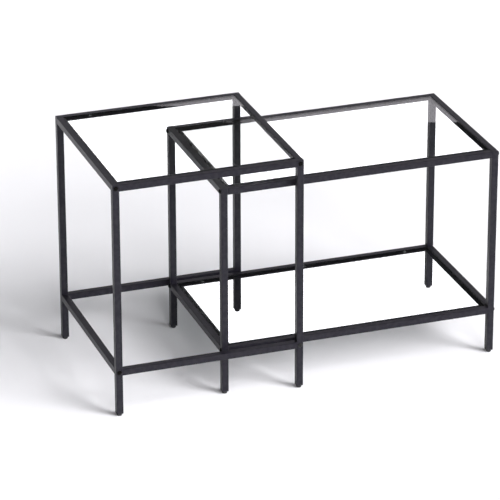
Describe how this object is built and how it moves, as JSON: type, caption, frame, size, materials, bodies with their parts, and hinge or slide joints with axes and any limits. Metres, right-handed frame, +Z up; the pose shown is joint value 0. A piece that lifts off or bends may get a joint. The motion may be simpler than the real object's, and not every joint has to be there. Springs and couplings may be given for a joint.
{
  "type": "nesting tables",
  "caption": "Nesting tables with black square-tube frames and loose clear glass tops: a tall square one and a long low one with a glass shelf that slides in under it.",
  "frame": {"origin": "middle of the footprint of both tables as they stand at rest, on the floor", "axes": "+X from the tall table towards the long table, the way it pulls out; +Y to the back; +Z up"},
  "size_m": [0.906, 0.439, 0.5475],
  "materials": {
    "black_steel": "fine satin powder coat",
    "black_bolt": "black oxide",
    "black_plastic": "matt",
    "zinc": "zinc plated",
    "clear_pad": "clear, soft",
    "clear_glass": "polished, tempered"
  },
  "bodies": {
    "tall_frame": {"tall_leg_front_left": "black_steel", "tall_leg_front_right": "black_steel", "tall_leg_back_left": "black_steel", "tall_leg_back_right": "black_steel", "tall_top_rail_front": "black_steel", "tall_top_rail_back": "black_steel", "tall_top_rail_left": "black_steel", "tall_top_rail_right": "black_steel", "tall_low_rail_front": "black_steel", "tall_low_rail_back": "black_steel", "tall_low_rail_left": "black_steel", "tall_ledge_front": "black_steel", "tall_ledge_back": "black_steel", "tall_glass_pads": "clear_pad", "tall_foot_front_left": "black_plastic", "tall_foot_front_right": "black_plastic", "tall_foot_back_left": "black_plastic", "tall_foot_back_right": "black_plastic", "tall_bolts_front": "black_bolt", "tall_bolts_back": "black_bolt", "tall_blank_plugs": "black_plastic", "tall_inserts": "zinc"},
    "tall_plate": {"tall_glass": "clear_glass"},
    "long_frame": {"long_leg_front_left": "black_steel", "long_leg_front_right": "black_steel", "long_leg_back_left": "black_steel", "long_leg_back_right": "black_steel", "long_top_rail_front": "black_steel", "long_top_rail_back": "black_steel", "long_top_rail_left": "black_steel", "long_top_rail_right": "black_steel", "long_low_rail_front": "black_steel", "long_low_rail_back": "black_steel", "long_low_rail_left": "black_steel", "long_low_rail_right": "black_steel", "long_top_ledge_front": "black_steel", "long_top_ledge_back": "black_steel", "long_top_ledge_left": "black_steel", "long_top_ledge_right": "black_steel", "long_low_ledge_front": "black_steel", "long_low_ledge_back": "black_steel", "long_low_ledge_left": "black_steel", "long_low_ledge_right": "black_steel", "long_top_pads": "clear_pad", "long_shelf_pads": "clear_pad", "long_foot_front_left": "black_plastic", "long_foot_front_right": "black_plastic", "long_foot_back_left": "black_plastic", "long_foot_back_right": "black_plastic", "long_bolts_left": "black_bolt", "long_bolts_right": "black_bolt", "long_inserts": "zinc"},
    "long_plate": {"long_glass_top": "clear_glass"},
    "shelf_plate": {"long_glass_shelf": "clear_glass"}
  },
  "joints": [
    {"name": "nest_slide", "type": "slide", "parent": "tall_frame", "child": "long_frame", "axis": [1, 0, 0], "range_m": [-0.233, 0.2]},
    {"name": "tall_plate_lift", "type": "slide", "parent": "tall_frame", "child": "tall_plate", "axis": [0, 0, 1], "range_m": [0, 0.1]},
    {"name": "long_plate_lift", "type": "slide", "parent": "long_frame", "child": "long_plate", "axis": [0, 0, 1], "range_m": [0, 0.03]},
    {"name": "shelf_plate_lift", "type": "slide", "parent": "long_frame", "child": "shelf_plate", "axis": [0, 0, 1], "range_m": [0, 0.06]}
  ]
}
